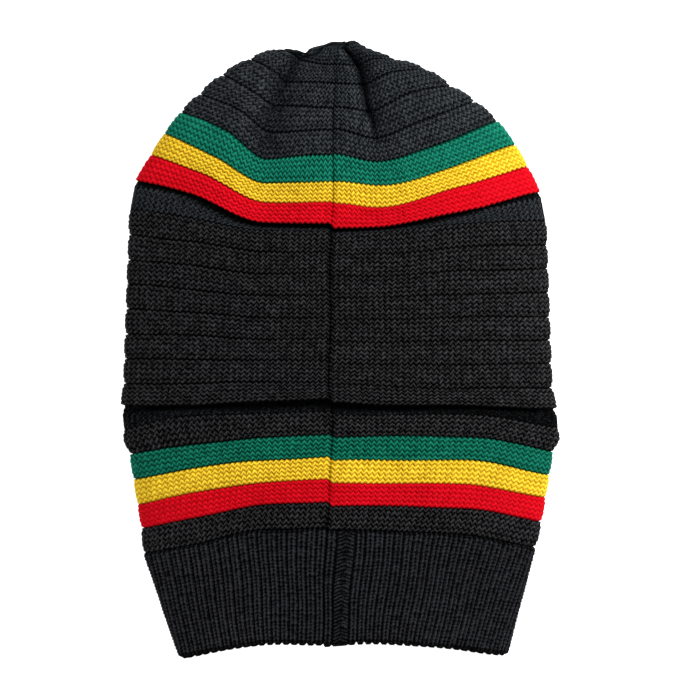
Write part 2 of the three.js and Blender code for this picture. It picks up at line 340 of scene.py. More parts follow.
@dataclass(frozen=True)
class Creases:
    """The crown's folds: a soft valley on the left, and on the right a crease under the right lobe.

    Reaches are shares of the half width, depths and painted shades shares of the whole, and ranges run
    over welts. The painted shade darkens the yarn along the left valley and in the right crease.
    """

    left_reach: float = 0.24
    left_crease: float = 0.55
    left_sharpens: tuple[float, float] = (25.0, 27.0)
    left_shade: float = 0.50
    left_shade_reach: float = 0.8
    left_darkens: tuple[float, float] = (22.6, 24.0)
    right_reach: float = 0.20
    right_valley: float = 0.40
    right_crease: float = 0.75
    right_sharpens: tuple[float, float] = (23.2, 24.6)
    right_shade: float = 0.95
    right_darkens: tuple[float, float] = (23.6, 25.0)
    steep: float = 1.5 * MM
    gentle: float = 5.0 * MM
    line: float = 1.9 * MM
    line_spread: float = 1.4
    line_narrows: tuple[float, float] = (26.8, 27.8)
    narrowing: float = 0.6

    def sink(self, welt: np.ndarray, across: np.ndarray, half: np.ndarray) -> np.ndarray:
        """Gives the depth of both folds, as a share of the hat's height.

        Args:
            welt: Places along the hat.
            across: Places across it, from -1 to 1.
            half: Half the hat's width at each place.

        Returns:
            The depth at each point.
        """
        from_left = across - column(FOLDS, "left_at", welt)
        from_right = across - column(FOLDS, "right_at", welt)
        sharp = self.left_crease * ease(*self.left_sharpens, welt)
        soft = (1.0 - sharp) * self.valley(from_left, self.left_reach)
        left = soft + sharp * self.crease(-from_left * half)
        grip = self.right_crease * ease(*self.right_sharpens, welt)
        soft = self.right_valley * self.valley(from_right, self.right_reach)
        right = soft + grip * self.crease(from_right * half)
        return column(FOLDS, "left_deep", welt) * left + column(FOLDS, "right_deep", welt) * right

    def shade(self, welt: np.ndarray, across: np.ndarray, half: np.ndarray) -> np.ndarray:
        """Gives how much painted shade darkens the yarn in the folds.

        Args:
            welt: Places along the hat.
            across: Places across it, from -1 to 1.
            half: Half the hat's width at each place.

        Returns:
            The painted shade at each point.
        """
        from_left = across - column(FOLDS, "left_at", welt)
        from_right = (across - column(FOLDS, "right_at", welt)) * half
        soft = self.valley(from_left, self.left_shade_reach * self.left_reach) ** 2
        left = self.left_shade * soft * ease(*self.left_darkens, welt)
        width = self.line * (1.0 - self.narrowing * ease(*self.line_narrows, welt))
        width = np.where(from_right < 0.0, width, self.line_spread * width)
        right = np.exp(-(np.abs(from_right) / width) ** 2.5)
        return left + self.right_shade * right * ease(*self.right_darkens, welt)

    def valley(self, off: np.ndarray, reach: float) -> np.ndarray:
        """Gives a soft trough of depth 1 with the given reach."""
        return 0.5 + 0.5 * np.cos(math.pi * np.clip(np.abs(off) / reach, 0.0, 1.0))

    def crease(self, off: np.ndarray) -> np.ndarray:
        """Gives a sharp groove of depth 1, steep on its lower side and gentle on the other."""
        return np.exp(-np.abs(off) / np.where(off < 0.0, self.steep, self.gentle))


@dataclass(frozen=True)
class FlatTube:
    """The knit tube as it lies pressed flat, which every band is wrapped on to."""

    centre_x: float
    centre_y: float
    half_width: float
    length: float
    height: float
    seam: Seam = Seam()
    creases: Creases = Creases()
    upper_fullness: float = 0.6
    lower_fullness: float = 0.42
    press: float = 1.2 * MM
    wobble: float = 0.45 * MM
    along: tuple[Ripple, Ripple] = (Ripple(3.0, 5.3), Ripple(7.0, -3.1))
    sideways: Ripple = Ripple(5.0, 4.7)
    outline_steps: int = 14400
    thinnest: float = 0.3
    crown_rounding: float = 0.8
    crown_rounds_off: tuple[float, float] = (20.0, 26.0)

    def outline(self) -> tuple[np.ndarray, np.ndarray, np.ndarray]:
        """Walks the flat outline.

        Returns:
            Places across, from -1 to 1, heights, from -1 below to 1 above, and the way walked so far.
        """
        angle = np.linspace(0.0, TURN, self.outline_steps + 1)
        up = np.cos(angle)
        fullness = np.where(up > 0.0, self.upper_fullness, self.lower_fullness)
        across = np.sin(angle)
        rise = np.sign(up) * np.abs(up) ** fullness
        steps = np.hypot(np.diff(across) * self.half_width, np.diff(rise) * self.height / 2.0)
        return across, rise, np.concatenate([[0.0], np.cumsum(steps)])

    def lens(self, welt: np.ndarray, around: np.ndarray) -> tuple[np.ndarray, np.ndarray]:
        """Finds places on the flat outline, with the back seam where it lies.

        Args:
            welt: Places along the hat.
            around: Shares of a turn from the back seam.

        Returns:
            Places across, from -1 to 1, and heights, from -1 below to 1 above.
        """
        across, rise, walked = self.outline()
        way = ((around + smooth_column(LOFTS, "seam_x", welt) / 4.0) % 1.0) * walked[-1]
        return np.interp(way, walked, across), np.interp(way, walked, rise)

    def off_seam(self, around: np.ndarray) -> np.ndarray:
        """Gives how far places lie from the back seam, round the body."""
        return (around - np.round(around)) * self.outline()[2][-1]

    def shrink(self, size: np.ndarray, inset: np.ndarray) -> np.ndarray:
        """Takes an inset off half a width or height, but never more than leaves the thinnest share."""
        return np.maximum(size - inset, self.thinnest * size)

    def place(self, welt: np.ndarray, around: np.ndarray, inset: np.ndarray) -> np.ndarray:
        """Places points of the fabric.

        Args:
            welt: Places along the hat.
            around: Shares of a turn from the back seam.
            inset: Depths below the crests of the welts.

        Returns:
            The points, one row each.
        """
        across, rise = self.lens(welt, around)
        off_seam = self.off_seam(around)
        upper = rise > 0.0
        left_x = column(COURSE_LINES, "left_x", welt) * self.half_width
        right_x = column(COURSE_LINES, "right_x", welt) * self.half_width
        half = (right_x - left_x) / 2.0
        one = np.ones_like(welt)
        seam_x = smooth_column(LOFTS, "seam_x", welt)
        left_at = column(FOLDS, "left_at", welt)
        right_at = column(FOLDS, "right_at", welt)
        knots = np.stack([-one, MID_LEFT * one, left_at, seam_x, right_at, MID_RIGHT * one, one], axis=1)
        names = ("left_y", "mid_left", "fold_left", "seam", "fold_right", "mid_right", "right_y")
        heights = np.stack([column(COURSE_LINES, name, welt) for name in names], axis=1)
        step = column(COURSE_LINES, "step", welt) / 2.0 * self.seam.side(off_seam) * upper
        y = (smooth_across(knots, heights, across) - step - 0.5) * self.length
        ripple = self.along[0].at(welt, around) + self.along[1].at(welt, around)
        rounded = self.crown_rounding * inset * np.abs(across) ** 6 * ease(*self.crown_rounds_off, welt)
        y = y + self.wobble * ripple / 2.0 - rounded
        x = (left_x + right_x) / 2.0 + self.shrink(half, inset) * across
        x = x + self.wobble * self.sideways.at(welt, around) * (1.0 - across ** 2)
        edge = smooth_column(LOFTS, "edge", welt) * self.height
        below = edge + self.shrink(edge + self.press, inset) * rise
        lift = smooth_column(LOFTS, "loft", welt) * self.height - edge
        dents = self.creases.sink(welt, across, half) * self.height + self.seam.sink(off_seam)
        above = edge + self.shrink(lift, inset) * rise - dents
        z = np.where(upper, above, np.maximum(0.0, below))
        return np.stack([x + self.centre_x, y + self.centre_y, z], axis=1)


@dataclass(frozen=True)
class Yarn:
    """A spun acrylic yarn, matte with a soft halo of fibre that catches light at a slant.

    Its shade is the colour painted in where shade falls, its fuzz how much the loose fibre varies
    that painted shade, and its depth how far the painted shade goes.
    """

    name: str
    colour: str
    shade: str
    halo: str
    fuzz: float
    depth: float
    roughness: float = 0.95
    specular: float = 0.02
    sheen: float = 0.015
    tuft: float = 0.85 * MM
    patch: float = 28.0 * MM

    def node(self, tree: bpy.types.NodeTree, kind: str, settings: dict, links: dict) -> bpy.types.Node:
        """Adds a shader node.

        Args:
            tree: The material's node tree.
            kind: The node's type name.
            settings: Values of its properties, or of its inputs where no property has the name.
            links: Input names or numbers and the sockets that feed them.

        Returns:
            The new node.
        """
        made = tree.nodes.new(kind)
        for key, value in settings.items():
            if hasattr(made, str(key)):
                setattr(made, key, value)
            else:
                made.inputs[key].default_value = value
        for key, socket in links.items():
            tree.links.new(socket, made.inputs[key])
        return made

    def material(self) -> bpy.types.Material:
        """Makes the yarn's material.

        Returns:
            A material whose colour is painted darker towards its shade colour between the stitches and
            wherever else shade is painted, with loose fibres and plies.
        """
        made = bpy.data.materials.new(self.name)
        made.use_nodes = True
        tree = made.node_tree
        tree.nodes.clear()
        add = partial(self.node, tree)
        out = add("ShaderNodeOutputMaterial", {}, {})
        place = add("ShaderNodeTexCoord", {}, {}).outputs["Object"]
        round_knit = add("ShaderNodeUVMap", {"uv_map": "stitches"}, {}).outputs["UV"]
        # Loose fibre, in tufts that are drawn a little coarser than the real ones so that they show
        fibre = add("ShaderNodeTexNoise", {"Scale": 1.0 / self.tuft, "Detail": 4.0}, {"Vector": place})
        # Plies of the yarn, which cross each stitch at a slant a little under 1 mm apart
        plies = add(
            "ShaderNodeTexWave",
            {"bands_direction": "DIAGONAL", "Scale": 1.6, "Distortion": 1.5, "Detail": 1.0},
            {"Vector": round_knit},
        )
        # Uneven dye and wear over some centimetres
        cloud = add("ShaderNodeTexNoise", {"Scale": 1.0 / self.patch, "Detail": 2.0}, {"Vector": place})
        # Painted shade: the mesh's attribute mixes the colour towards the yarn's shade colour, and deep
        # says how far
        sunk = add("ShaderNodeAttribute", {"attribute_name": "sunk"}, {})
        speck = add(
            "ShaderNodeMapRange",
            {"From Min": 0.3, "From Max": 0.7, "To Min": -self.fuzz, "To Max": self.fuzz},
            {"Value": fibre.outputs["Fac"]},
        )
        deep = add(
            "ShaderNodeMath",
            {"operation": "MULTIPLY_ADD", "use_clamp": True, 1: self.depth},
            {0: sunk.outputs["Fac"], 2: speck.outputs["Result"]},
        )
        colour = add(
            "ShaderNodeMix",
            {"data_type": "RGBA", 6: linear(self.colour), 7: linear(self.shade)},
            {0: deep.outputs[0]},
        )
        tone = add(
            "ShaderNodeMapRange",
            {"From Min": 0.3, "From Max": 0.7, "To Min": 0.93, "To Max": 1.06},
            {"Value": cloud.outputs["Fac"]},
        )
        toned = add(
            "ShaderNodeHueSaturation",
            {},
            {"Value": tone.outputs["Result"], "Color": colour.outputs[2]},
        )
        soft = add(
            "ShaderNodeBump",
            {"Strength": 0.45, "Distance": 0.22 * MM},
            {"Height": fibre.outputs["Fac"]},
        )
        twisted = add(
            "ShaderNodeBump",
            {"Strength": 0.35, "Distance": 0.14 * MM},
            {"Height": plies.outputs["Fac"], "Normal": soft.outputs["Normal"]},
        )
        skin = add(
            "ShaderNodeBsdfPrincipled",
            {
                "Roughness": self.roughness,
                "Specular IOR Level": self.specular,
                "Sheen Weight": self.sheen,
                "Sheen Roughness": 0.5,
                "Sheen Tint": linear(self.halo),
            },
            {"Base Color": toned.outputs["Color"], "Normal": twisted.outputs["Normal"]},
        )
        tree.links.new(skin.outputs["BSDF"], out.inputs["Surface"])
        return made


YARNS = {
    # Jet black acrylic: a soft charcoal on its crests, painted nearly black as shade between its stitches
    Knit.WELTED: Yarn("welted_black_acrylic_knit", "#343436", "#010101", "#8a8a90", 0.42, 1.10),
    Knit.RIBBED: Yarn("ribbed_black_acrylic_knit", "#28292c", "#010101", "#8a8c94", 0.44, 1.20),
    Knit.PLAIN: Yarn("plain_black_acrylic_knit", "#32363a", "#010101", "#808086", 0.36, 1.05),
    # The same black yarn, in copies painted a little lighter and cooler where the crown turns to the light
    Knit.CROWN: Yarn("crown_black_acrylic_knit", "#35393c", "#030405", "#8c9498", 0.45, 0.95),
    Knit.GATHERED: Yarn("gathered_black_acrylic_knit", "#2f3437", "#030405", "#8c9498", 0.42, 1.00),
    # Dyed acrylic: bright on its crests, and painted darker in its own colour as shade between them
    Knit.RED: Yarn("red_acrylic_knit", "#be0f1e", "#9c0008", "#ff9a9a", 0.20, 0.85),
    Knit.GOLD: Yarn("gold_acrylic_knit", "#eac736", "#906a00", "#fff0b0", 0.16, 0.85, sheen=0.008),
    Knit.GREEN: Yarn("green_acrylic_knit", "#14705a", "#00281c", "#8fd0b8", 0.22, 0.95),
}


class Row(NamedTuple):
    """One row of a band's wall, round its section: course is negative on the inner side."""

    at: float
    inset: float
    course: float


class Spread(NamedTuple):
    """The vertices of a band before they are placed."""

    at: np.ndarray
    inset: np.ndarray
    course: np.ndarray
    around: np.ndarray

    def outer(self) -> np.ndarray:
        """Tells which vertices lie on the outer face."""
        return self.course >= 0.0


class Relief(NamedTuple):
    """The stitches' relief: depths below the crests, the courses' swing up the band, and the painted shade.
    """

    depth: np.ndarray
    swing: np.ndarray
    shade: np.ndarray


@dataclass
class KnitBand:
    """A round of knit between two course lines, built as one closed wall."""

    name: str
    knit: Knit
    low: float
    high: float
    seed: int
    courses: int = COURSES_A_WELT
    stitches: int = STITCHES
    rows_a_course: int = 4
    columns_a_stitch: int = 4
    gap: float = 0.02 * MM
    # The welt's roll, which is freer at the hat's sides than across its pressed middle
    groove: float = 2.4 * MM
    roundness: float = 6.0
    calm: float = 0.90
    left_rolls: tuple[float, float] = (0.10, 0.60)
    right_rolls: tuple[float, float] = (0.35, 0.90)
    lip: bool = False
    lip_roll: float = 1.1 * MM
    # The stitches
    wave: float = 0.95 * MM
    trough: float = 0.95 * MM
    hole: float = 0.55 * MM
    strand: float = 0.12 * MM
    straight_edge: float = 0.5
    edge_calm: float = 0.6
    # What is uneven in them
    loose: float = 0.10
    slack: float = 0.25
    aside: float = 0.10
    jump: float = 0.36 * MM
    seam_drift: float = 0.4 * MM
    # Painted shade at random on single stitches, as they turn from the light
    patchy_painted_shade: float = 0.22
    # Painted shade, added to the yarn's colour mix; an offset below 0 paints it lighter
    painted_shade_offset: float = 0.0
    slant_shade: float = 0.40
    hollow_shade: float = 0.25
    groove_shade: float = 0.9
    rim_shade: float = 0.16
    seam_shade: float = 1.0
    inner_shade: float = 0.6

    @property
    def slot(self) -> str:
        """Names the band's material slot."""
        return self.knit.value

    def columns(self) -> int:
        """Returns how many columns of faces go round the band."""
        return self.stitches * self.columns_a_stitch

    def outer_rows(self) -> list[Row]:
        """Lists the rows of the outer face, from the lower edge up."""
        count = self.courses * self.rows_a_course
        return [Row(j / count, 0.0, j / self.rows_a_course) for j in range(count + 1)]

    def inner_rows(self) -> list[tuple[float, float]]:
        """Lists places and depths of the inner face, from the upper edge down.

        Returns:
            The pairs, with the lower edge drawn up under it where the band hangs over as a lip.
        """
        if self.lip:
            flap = [(0.44, 0.6 * WALL), (0.30, 2.5 * MM), (0.10, 2.4 * MM), (0.02, 2.2 * MM)]
            return [(1.0, 0.75 * WALL), (0.97, WALL), (0.5, WALL), *flap]
        return [(1.0, 0.75 * WALL), (0.97, WALL), (0.5, WALL), (0.03, WALL), (0.0, 0.75 * WALL)]

    def rows(self) -> list[Row]:
        """Lists the rows of the wall, up its outer face and down its inner one."""
        return self.outer_rows() + [Row(at, inset, -1.0) for at, inset in self.inner_rows()]

    def profile(self, at: np.ndarray, across: np.ndarray) -> np.ndarray:
        """Works out the roll of the welt between its two grooves, which fade across the middle.

        Args:
            at: Shares of the band, from its lower to its upper edge.
            across: Places across the hat.

        Returns:
            Depths below the crest.
        """
        depth = self.groove * self.puffed(across)
        edge = depth * np.abs(2.0 * at - 1.0) ** self.roundness
        if self.lip:
            return np.where(at < 0.5, self.lip_roll * self.rim(at), edge)
        return edge

    def rim(self, at: np.ndarray) -> np.ndarray:
        """Tells how near places lie to the band's edges, from 0 over most of it to 1 at each edge."""
        return np.abs(2.0 * at - 1.0) ** 8

    def puffed(self, across: np.ndarray) -> np.ndarray:
        """Tells how freely the welt rolls at places across, from 0 where it is pressed flat to 1."""
        side = np.maximum(ease(*self.left_rolls, -across), ease(*self.right_rolls, across))
        return 1.0 - self.calm * (1.0 - side)

    def relief(self, stitch: np.ndarray, course: np.ndarray) -> Relief:
        """Works out the stitches.

        Args:
            stitch: Places round the band, counted in stitches.
            course: Places up the band, counted in courses.

        Returns:
            The relief at each place.
        """
        between = 0.5 + 0.5 * np.cos(TURN * course)
        swing = np.sin(TURN * stitch)
        hollow = 0.5 - 0.5 * swing
        falling = 0.5 - 0.5 * np.cos(TURN * stitch)
        depth = between * (self.trough + self.hole * hollow) + self.strand * (hollow + falling)
        # Painted shade between the courses, deeper in the hollows and on the legs that fall away from the
        # light
        shade = between ** 0.8 * (1.0 + self.hollow_shade * hollow) + self.slant_shade * falling
        return Relief(depth, self.wave * swing, shade)

    def build(self, tube: FlatTube, yarn: bpy.types.Material) -> bpy.types.Object:
        """Knits the band and wraps it on to the tube.

        Args:
            tube: The flattened tube.
            yarn: The yarn's material.

        Returns:
            The band's object, dressed and riding on the hat.
        """
        rows = self.rows()
        columns = self.columns()
        bpy.ops.object.select_all(action="DESELECT")
        bpy.ops.mesh.primitive_grid_add(x_subdivisions=columns, y_subdivisions=len(rows), size=1.0)
        piece = bpy.context.object
        piece.name = self.name + "_knit"
        mesh = piece.data
        mesh.name = piece.name
        flat = np.empty(len(mesh.vertices) * 3)
        mesh.vertices.foreach_get("co", flat)
        flat = flat.reshape(-1, 3)
        turn = flat[:, 0] + 0.5
        row = np.rint((flat[:, 1] + 0.5) * len(rows)).astype(int)
        self.map_stitches(mesh, turn, row)
        table = np.array(rows)[row % len(rows)]
        around = (np.rint(turn * columns) % columns) / columns
        points, sunk = self.wrap(tube, Spread(table[:, 0], table[:, 1], table[:, 2], around))
        mesh.vertices.foreach_set("co", points.ravel())
        # The painted shade goes on the mesh, for the yarn's material to darken its colour by
        shade = mesh.attributes.new("sunk", "FLOAT", "POINT")
        shade.data.foreach_set("value", np.clip(sunk, 0.0, 1.0))
        mesh.update()
        bpy.ops.object.mode_set(mode="EDIT")
        bpy.ops.mesh.select_all(action="SELECT")
        bpy.ops.mesh.remove_doubles(threshold=0.001 * MM)
        bpy.ops.mesh.normals_make_consistent(inside=False)
        bpy.ops.object.mode_set(mode="OBJECT")
        if self.volume(mesh) < 0.0:
            mesh.flip_normals()
        bpy.ops.object.shade_smooth()
        mesh.materials.clear()
        mesh.materials.append(yarn)
        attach(piece, "root")
        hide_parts(self.name)
        return piece

    def volume(self, mesh: bpy.types.Mesh) -> float:
        """Measures the wall, which comes out negative where its faces point inwards.

        Args:
            mesh: The band's mesh.

        Returns:
            The volume in cubic metres.
        """
        form = bmesh.new()
        form.from_mesh(mesh)
        held = form.calc_volume(signed=True)
        form.free()
        return held

    def map_stitches(self, mesh: bpy.types.Mesh, turn: np.ndarray, row: np.ndarray) -> None:
        """Lays a map over the knit that counts stitches one way and courses the other.

        Args:
            mesh: The band's mesh.
            turn: Each vertex's share of a turn.
            row: Each vertex's row number.
        """
        corner = np.empty(len(mesh.loops), dtype=int)
        mesh.loops.foreach_get("vertex_index", corner)
        counted = np.stack([turn * self.stitches, row / self.rows_a_course], axis=1)
        layer = mesh.uv_layers[0]
        layer.name = "stitches"
        layer.data.foreach_set("uv", counted[corner].ravel())

    def wrap(self, tube: FlatTube, spread: Spread) -> tuple[np.ndarray, np.ndarray]:
        """Places every vertex of the band.

        Args:
            tube: The flattened tube.
            spread: The vertices on the flat.

        Returns:
            The points, and how much painted shade each takes, from 0 to 1.
        """
        at, outer = spread.at, spread.outer()
        stitch = spread.around * self.stitches
        relief = self.relief(stitch, spread.course)
        loose = self.draw(Draw.LOOSE, 2 * self.stitches, spread.course, 2.0 * stitch)
        slack = self.draw(Draw.SLACK, self.stitches, spread.course, stitch)
        inside = outer * (1.0 - self.rim(at))
        depth = relief.depth * (1.0 + self.loose * loose) + self.loose * MM * loose * inside
        across, _ = tube.lens(np.full(len(at), self.low), spread.around)
        puffed = self.puffed(across)
        inset = np.where(outer, self.profile(at, across) + depth, spread.inset)
        jump = self.draw(Draw.JUMP, self.stitches, spread.course, stitch + 0.5) * self.jump
        kept = inside + (1.0 - inside) * self.edge_swing(at, puffed)
        swing = relief.swing * (1.0 + self.slack * slack) * kept
        welt = self.along(at) + (swing + jump * inside) / WELT
        aside = self.draw(Draw.ASIDE, self.stitches, spread.course, stitch) * self.aside * inside
        # Painted shade in the grooves where the welts roll, on the band's rims, on random stitches, in the
        # seam's pinch and folds
        edges = self.groove_shade * puffed * self.rim(at) ** 2
        soft_rim = self.rim_shade * np.abs(2.0 * at - 1.0) ** 3
        shade = self.painted_shade_offset + relief.shade + self.patchy_painted_shade * loose + edges + soft_rim
        shade = shade + self.line_shade(tube, welt, across, spread)
        points = tube.place(welt, spread.around + aside / self.stitches, inset)
        return points, np.where(outer, shade, self.inner_shade)

    def along(self, at: np.ndarray) -> np.ndarray:
        """Turns shares of the band to places along the hat, with the gap left at both edges."""
        share = self.gap / WELT
        return self.low + share + (self.high - self.low - 2.0 * share) * at

    def draw(self, what: Draw, columns: int, course: np.ndarray, column: np.ndarray) -> np.ndarray:
        """Draws what is uneven, at places counted in courses and in so many columns round the band."""
        return uneven(self.seed + what.value, self.courses, columns, course, column)

    def edge_swing(self, at: np.ndarray, puffed: np.ndarray) -> np.ndarray:
        """Tells how much of the courses' swing is left at the band's edges."""
        low, high = (self.straight_edge if edge in SMOOTH_EDGES else 1.0 for edge in (self.low, self.high))
        return np.where(at < 0.5, low, high) * (1.0 - self.edge_calm * puffed)

    def line_shade(
        self, tube: FlatTube, welt: np.ndarray, across: np.ndarray, spread: Spread
    ) -> np.ndarray:
        """Works out the painted shade in the seam's pinch and in the folds.

        Args:
            tube: The flattened tube.
            welt: Places along the hat.
            across: Places across it.
            spread: The vertices on the flat.

        Returns:
            The painted shade that is added there.
        """
        drift = self.draw(Draw.SEAM, 1, spread.course, 0.0 * spread.course) * self.seam_drift
        half = (column(COURSE_LINES, "right_x", welt) - column(COURSE_LINES, "left_x", welt)) / 2.0
        # The upper side lies within a quarter of a turn from the seam
        upper = np.abs(spread.around - np.round(spread.around)) < 0.25
        folds = tube.creases.shade(welt, across, half * tube.half_width) * upper
        return self.seam_shade * tube.seam.shade(tube.off_seam(spread.around) + drift) + folds


@dataclass
class StripeWelt(KnitBand):
    """A coloured welt, flatter and more even than the black ones, its bright yarn painted with less shade
    on its slants.
    """

    groove: float = 1.5 * MM
    patchy_painted_shade: float = 0.15
    jump: float = 0.26 * MM
    slant_shade: float = 0.15
    seam_shade: float = 0.8


@dataclass
class CrownWelt(KnitBand):
    """A black welt of the crown, knitted a little looser, which rolls all the way across."""

    groove: float = 2.3 * MM
    roundness: float = 4.0
    calm: float = 0.1
    wave: float = 0.85 * MM
    trough: float = 0.8 * MM
    loose: float = 0.16
    patchy_painted_shade: float = 0.28


@dataclass
class RibCuff(KnitBand):
    """The ribbed cuff: knit columns of slanting legs with furrows between, one of them of double width."""

    courses: int = 32
    rib_wall: float = 4.2 * MM
    furrow: float = 1.7 * MM
    inner_furrow: float = 0.5 * MM
    cleft: float = 0.9 * MM
    notch: float = 0.5 * MM
    fluff: float = 0.14 * MM
    stagger: float = 0.25
    scallop: float = 1.5 * MM
    raggedness: float = 0.5
    hem_roll: float = 2.4 * MM
    top_roll: float = 1.8 * MM
    columns_a_rib: int = 8
    wide_rib: float = 1.0
    wide_cleft: float = 0.3
    # Painted shade in the clefts and furrows, on the slants, over the wide rib, on the rolled hem, under
    # the welt above and inside
    cleft_shade: float = 0.75
    furrow_shade: float = 0.95
    slant_shade: float = 0.45
    wide_shade: float = 0.22
    wide_slant_shade: float = 0.80
    hem_shade: float = 0.6
    top_shade: float = 0.4
    patchy_painted_shade: float = 0.15
    inner_shade: float = 0.7

    def columns(self) -> int:
        """Returns how many columns of faces go round the cuff."""
        return RIBS * self.columns_a_rib

    def inner_rows(self) -> list[tuple[float, float]]:
        """Lists places and depths of the inner face, from the upper edge down."""
        deep = self.rib_wall
        return [(1.0, 0.7 * deep), (0.98, deep), (0.5, deep), (0.015, deep), (0.0, 0.6 * deep)]

    def wrap(self, tube: FlatTube, spread: Spread) -> tuple[np.ndarray, np.ndarray]:
        """Places every vertex of the cuff.

        Args:
            tube: The flattened tube.
            spread: The vertices on the flat.

        Returns:
            The points, and how much painted shade each takes, from 0 to 1.
        """
        at, outer, course = spread.at, spread.outer(), spread.course
        rib = spread.around * RIBS
        # The wide rib takes the room of two, and its middle furrow is drawn out to a shallow cleft
        from_wide = np.abs(rib - self.wide_rib - 1.0)
        wide = from_wide < 1.0
        stretched = np.interp(from_wide, (0.0, 0.75, 1.0), (0.0, 0.5, 1.0))
        # From the cleft in the middle of each rib at 0 to the furrow beside it at 1
        off = np.where(wide, stretched, np.abs((rib % 1.0) - 0.5) * 2.0)
        loose = self.draw(Draw.LOOSE, 2 * RIBS, course, 2.0 * rib)
        leg = 0.5 - 0.5 * np.cos(TURN * off)
        climb = np.where(wide, from_wide, 0.5 * off)
        slant = 0.5 + 0.5 * np.cos(TURN * (course + climb + self.stagger * loose))
        flank = ease(0.5, 1.0, off)
        middle = np.where(wide, self.wide_cleft, 1.0)
        sides = (1.0 - leg) * np.where(off < 0.5, middle * self.cleft, self.furrow)
        depth = sides + leg * (self.notch * (1.0 - slant) + self.fluff * loose)
        top = self.top_roll * ease(0.975, 1.0, at)
        hem = self.hem_roll * (1.0 - ease(0.0, 0.045, at)) ** 2
        inset = np.where(outer, depth + top + hem, spread.inset + self.inner_furrow * flank)
        ragged = self.raggedness * uneven(self.seed + Draw.HEM.value, 1, RIBS, np.zeros_like(rib), rib)
        rise = self.scallop * (1.0 + ragged) * flank * (1.0 - ease(0.0, 0.04, at))
        # Painted shade: in the clefts and furrows, at random, on the slants, over the wide rib, on the
        # rolled hem and under the welt
        cleft_and_furrow_shade = np.where(off < 0.5, self.cleft_shade * middle, self.furrow_shade)
        shade = (1.0 - leg) * cleft_and_furrow_shade + self.patchy_painted_shade * loose
        broad = self.wide_shade + self.wide_slant_shade * (1.0 - slant)
        shade = shade + np.where(wide, broad, self.slant_shade * (1.0 - slant))
        shade = shade + self.hem_shade * (1.0 - ease(0.01, 0.07, at)) + self.top_shade * ease(0.96, 1.0, at)
        points = tube.place(self.along(at) + rise / WELT, spread.around, inset)
        return points, np.where(outer, shade, self.inner_shade)


@dataclass
class GatheredTop(KnitBand):
    """The crown's plain top, whose knit columns are drawn together at the gather."""

    courses: int = 6
    stitches: int = 60
    columns_a_stitch: int = 9
    wave: float = 0.6 * MM
    loose: float = 0.16
    patchy_painted_shade: float = 0.24
    seam_shade: float = 0.9
    pleats: int = 39
    pleat_depth: float = 1.0 * MM
    # Painted shade in the pleats, and less painted shade on the stitches towards the gather
    pleat_shade: float = 0.7
    sink: float = 0.3 * MM
    foot: float = 0.6
    calming: float = 0.5
    lightening: float = 0.6

    def inner_rows(self) -> list[tuple[float, float]]:
        """Lists places and depths of the inner face, from the upper edge down."""
        middle = [(at, WALL) for at in (0.90, 0.80, 0.70, 0.64, 0.58, 0.50, 0.40, 0.20, 0.03)]
        return [(0.97, 0.7 * WALL), *middle, (0.0, 0.75 * WALL)]

    def profile(self, at: np.ndarray, across: np.ndarray) -> np.ndarray:
        """Works out the groove below the top, flat above it."""
        return self.sink + self.foot * self.groove * (1.0 - ease(0.0, 0.2, at))

    def relief(self, stitch: np.ndarray, course: np.ndarray) -> Relief:
        """Works out the stitches, and the pleats that draw them together towards the gather.

        Args:
            stitch: Places round the band, counted in stitches.
            course: Places up the band, counted in courses.

        Returns:
            The relief at each place.
        """
        knit = super().relief(stitch, course)
        reach = ease(0.1, 0.8, course / self.courses)
        pleat = 0.5 - 0.5 * np.cos(TURN * self.pleats * stitch / self.stitches)
        calm = 1.0 - self.calming * reach
        depth = knit.depth * calm + self.pleat_depth * reach * pleat
        # Less painted shade on the stitches towards the gather, and more painted shade in the pleats
        shade = knit.shade * (1.0 - self.lightening * reach) + self.pleat_shade * reach * pleat
        return Relief(depth, knit.swing * calm, shade)


